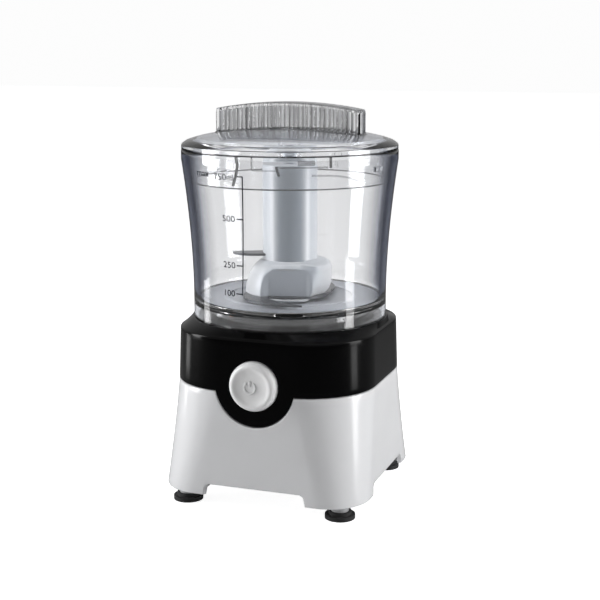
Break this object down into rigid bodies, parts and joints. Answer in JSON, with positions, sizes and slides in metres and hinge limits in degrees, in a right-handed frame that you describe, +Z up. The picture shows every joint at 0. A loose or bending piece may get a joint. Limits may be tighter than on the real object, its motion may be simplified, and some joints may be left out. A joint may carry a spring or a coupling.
{
  "type": "food processor",
  "caption": "Compact food processor: clear flared bowl with plug-in lid and tall blade hub on a glossy black and white direct-drive motor base with push button.",
  "frame": {"origin": "centre of the footprint, on the table", "axes": "+Z up along the motor shaft, -Y out of the front with the push button, +X to the right seen from the front"},
  "size_m": [0.1276, 0.1292, 0.2327],
  "materials": {
    "clear_plastic": "clear, polished, faint blue tint at the edges",
    "frosted_plastic": "milky grey-white, lightly frosted",
    "blade_steel": "ground stainless steel",
    "white_nylon": "moulded nylon",
    "rubber": "matt black rubber",
    "black_gloss": "high gloss black",
    "white_gloss": "high gloss white",
    "grey_plastic": "fine texture",
    "silver_plastic": "satin silver-grey",
    "spring_steel": "drawn wire",
    "black_plastic": "moulded black",
    "orange_plastic": "moulded orange",
    "machined_steel": "ground shaft",
    "lamination_steel": "stacked laminations",
    "copper_wire": "enamelled copper",
    "dark_plastic": "moulded dark grey",
    "bracket_aluminium": "die cast",
    "bronze": "sintered bronze",
    "brass_sheet": "stamped sheet",
    "carbon": "carbon block",
    "zinc_steel": "zinc plated",
    "yellow_plastic": "moulded capacitor case",
    "wire_insulation": "wire insulation"
  },
  "bodies": {
    "base": {"shaft_seal": "rubber", "upper_housing": "black_gloss", "lower_housing": "white_gloss", "bottom_plate": "grey_plastic", "foot_front_left": "rubber", "foot_front_right": "rubber", "foot_rear_left": "rubber", "foot_rear_right": "rubber", "button_spring": "spring_steel", "pulse_switch": "black_plastic", "switch_bracket": "black_plastic", "interlock_spring": "spring_steel", "interlock_switch": "black_plastic", "stator_core": "lamination_steel", "field_coils": "copper_wire", "motor_top_bracket": "bracket_aluminium", "motor_bottom_bracket": "bracket_aluminium", "upper_bearing": "bronze", "lower_bearing": "bronze", "brush_holders": "brass_sheet", "carbon_brushes": "carbon", "brush_springs": "spring_steel", "motor_mounts": "rubber", "motor_mount_screws": "zinc_steel", "motor_bolts": "zinc_steel", "housing_screws": "zinc_steel", "base_screws": "zinc_steel", "suppression_capacitor": "yellow_plastic", "cord_gland": "rubber", "cord_clamp": "black_plastic", "wiring": "wire_insulation"},
    "rotor": {"motor_shaft": "machined_steel", "armature_core": "lamination_steel", "armature_windings": "copper_wire", "commutator": "copper_wire", "cooling_fan": "dark_plastic", "drive_spindle": "white_nylon"},
    "bowl": {"bowl": "clear_plastic"},
    "lid": {"lid": "clear_plastic"},
    "blades": {"blade_hub": "frosted_plastic", "upper_blade": "blade_steel", "lower_blade": "blade_steel"},
    "button": {"push_button": "silver_plastic"},
    "plunger": {"interlock_plunger": "orange_plastic"}
  },
  "joints": [
    {"name": "motor_spin", "type": "hinge", "parent": "base", "child": "rotor", "pos_m": [0, 0, 0.05], "axis": [0, 0, 1], "continuous": true},
    {"name": "bowl_lift", "type": "slide", "parent": "base", "child": "bowl", "axis": [0, 0, 1], "range_m": [0, 0.1]},
    {"name": "blade_spin", "type": "hinge", "parent": "bowl", "child": "blades", "pos_m": [0, 0, 0.15], "axis": [0, 0, 1], "continuous": true},
    {"name": "lid_lift", "type": "slide", "parent": "bowl", "child": "lid", "axis": [0, 0, 1], "range_m": [0, 0.05]},
    {"name": "button_press", "type": "slide", "parent": "base", "child": "button", "axis": [0, 1, 0], "range_m": [0, 0.003], "stiffness_N_per_m": 1200, "springref_m": -0.002, "deforming": ["button_spring"]},
    {"name": "interlock_press", "type": "slide", "parent": "base", "child": "plunger", "axis": [0, 0, -1], "range_m": [0, 0.003], "stiffness_N_per_m": 200, "springref_m": -0.001, "deforming": ["interlock_spring"]}
  ],
  "couplings": [
    {"joint": "blade_spin", "follows": "motor_spin", "ratio": 1}
  ]
}
